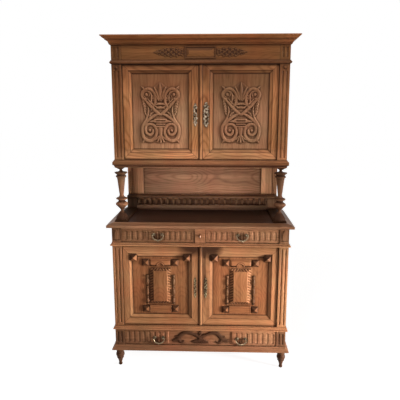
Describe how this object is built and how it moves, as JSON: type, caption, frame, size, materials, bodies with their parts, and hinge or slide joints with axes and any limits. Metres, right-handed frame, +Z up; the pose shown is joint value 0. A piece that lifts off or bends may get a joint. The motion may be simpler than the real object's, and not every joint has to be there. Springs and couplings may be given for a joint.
{
  "type": "buffet",
  "caption": "Two-body carved oak buffet with cupboards above and below, fluted drawers with bail pulls, turned columns, an open niche and a spindle gallery over the counter",
  "frame": {"origin": "on the floor under the middle of the overall box", "axes": "+Z up, -Y towards the front with the doors and drawers, +X to the right seen from the front"},
  "size_m": [1.24, 0.54, 2.24],
  "materials": {
    "oak": "waxed mid-brown oak with dark grain and worn edges",
    "dark_oak": "darkened waxed oak of the counter",
    "antique_brass": "tarnished antique brass",
    "dark_iron": "dark iron of the locks and pins"
  },
  "bodies": {
    "carcass": {"feet": "oak", "plinth_moulding": "oak", "lower_shelves": "oak", "lower_side_frames": "oak", "lower_side_panels": "oak", "lower_pilasters": "oak", "lower_front_rails": "oak", "lower_back_boards": "oak", "band_mouldings": "oak", "drawer_runners": "oak", "counter_top": "dark_oak", "column_plinths": "oak", "columns": "oak", "niche_back_frame": "oak", "niche_back_panel": "oak", "gallery_rails": "oak", "gallery_spindles": "oak", "upper_base_moulding": "oak", "upper_shelves": "oak", "upper_side_frames": "oak", "upper_side_panels": "oak", "upper_pilasters": "oak", "upper_front_rails": "oak", "upper_back_boards": "oak", "frieze": "oak", "frieze_ornaments": "oak", "architrave_moulding": "oak", "cornice": "oak", "door_pivot_pins": "dark_iron"},
    "upper_left_door": {"upper_left_door_frame": "oak", "upper_left_door_panel": "oak", "upper_left_escutcheon": "antique_brass"},
    "upper_right_door": {"upper_right_door_frame": "oak", "upper_right_door_panel": "oak", "upper_right_escutcheon": "antique_brass", "upper_lock": "dark_iron"},
    "lower_left_door": {"lower_left_door_frame": "oak", "lower_left_door_panel": "oak", "lower_left_door_ornament": "oak", "lower_left_escutcheon": "antique_brass"},
    "lower_right_door": {"lower_right_door_frame": "oak", "lower_right_door_panel": "oak", "lower_right_door_ornament": "oak", "lower_right_escutcheon": "antique_brass", "lower_lock": "dark_iron"},
    "left_drawer": {"left_drawer_front": "oak", "left_drawer_box": "oak", "left_drawer_pull_mounts": "antique_brass"},
    "right_drawer": {"right_drawer_front": "oak", "right_drawer_box": "oak", "right_drawer_pull_mounts": "antique_brass"},
    "base_drawer": {"base_drawer_front": "oak", "base_drawer_box": "oak", "base_drawer_pull_mounts": "antique_brass"},
    "left_bail": {"left_bail": "antique_brass"},
    "right_bail": {"right_bail": "antique_brass"},
    "base_left_bail": {"base_left_bail": "antique_brass"},
    "base_right_bail": {"base_right_bail": "antique_brass"},
    "upper_lock_bolt": {"upper_lock_bolt": "dark_iron"},
    "lower_lock_bolt": {"lower_lock_bolt": "dark_iron"}
  },
  "joints": [
    {"name": "upper_left_door_hinge", "type": "hinge", "parent": "carcass", "child": "upper_left_door", "pos_m": [-0.484, -0.186, 1.466], "axis": [0, 0, -1], "range_deg": [0, 100]},
    {"name": "upper_right_door_hinge", "type": "hinge", "parent": "carcass", "child": "upper_right_door", "pos_m": [0.484, -0.186, 1.466], "axis": [0, 0, 1], "range_deg": [0, 100]},
    {"name": "lower_left_door_hinge", "type": "hinge", "parent": "carcass", "child": "lower_left_door", "pos_m": [-0.512, -0.226, 0.322], "axis": [0, 0, -1], "range_deg": [0, 100]},
    {"name": "lower_right_door_hinge", "type": "hinge", "parent": "carcass", "child": "lower_right_door", "pos_m": [0.512, -0.226, 0.322], "axis": [0, 0, 1], "range_deg": [0, 100]},
    {"name": "left_drawer_slide", "type": "slide", "parent": "carcass", "child": "left_drawer", "axis": [0, -1, 0], "range_m": [0, 0.3]},
    {"name": "right_drawer_slide", "type": "slide", "parent": "carcass", "child": "right_drawer", "axis": [0, -1, 0], "range_m": [0, 0.3]},
    {"name": "base_drawer_slide", "type": "slide", "parent": "carcass", "child": "base_drawer", "axis": [0, -1, 0], "range_m": [0, 0.3]},
    {"name": "left_bail_hinge", "type": "hinge", "parent": "left_drawer", "child": "left_bail", "pos_m": [-0.281, -0.249, 0.97], "axis": [-1, 0, 0], "range_deg": [0, 85]},
    {"name": "right_bail_hinge", "type": "hinge", "parent": "right_drawer", "child": "right_bail", "pos_m": [0.281, -0.249, 0.97], "axis": [-1, 0, 0], "range_deg": [0, 85]},
    {"name": "base_left_bail_hinge", "type": "hinge", "parent": "base_drawer", "child": "base_left_bail", "pos_m": [-0.286, -0.249, 0.226], "axis": [-1, 0, 0], "range_deg": [0, 85]},
    {"name": "base_right_bail_hinge", "type": "hinge", "parent": "base_drawer", "child": "base_right_bail", "pos_m": [0.286, -0.249, 0.226], "axis": [-1, 0, 0], "range_deg": [0, 85]},
    {"name": "upper_bolt_slide", "type": "slide", "parent": "upper_right_door", "child": "upper_lock_bolt", "axis": [-1, 0, 0], "range_m": [0, 0.012]},
    {"name": "lower_bolt_slide", "type": "slide", "parent": "lower_right_door", "child": "lower_lock_bolt", "axis": [-1, 0, 0], "range_m": [0, 0.012]}
  ]
}
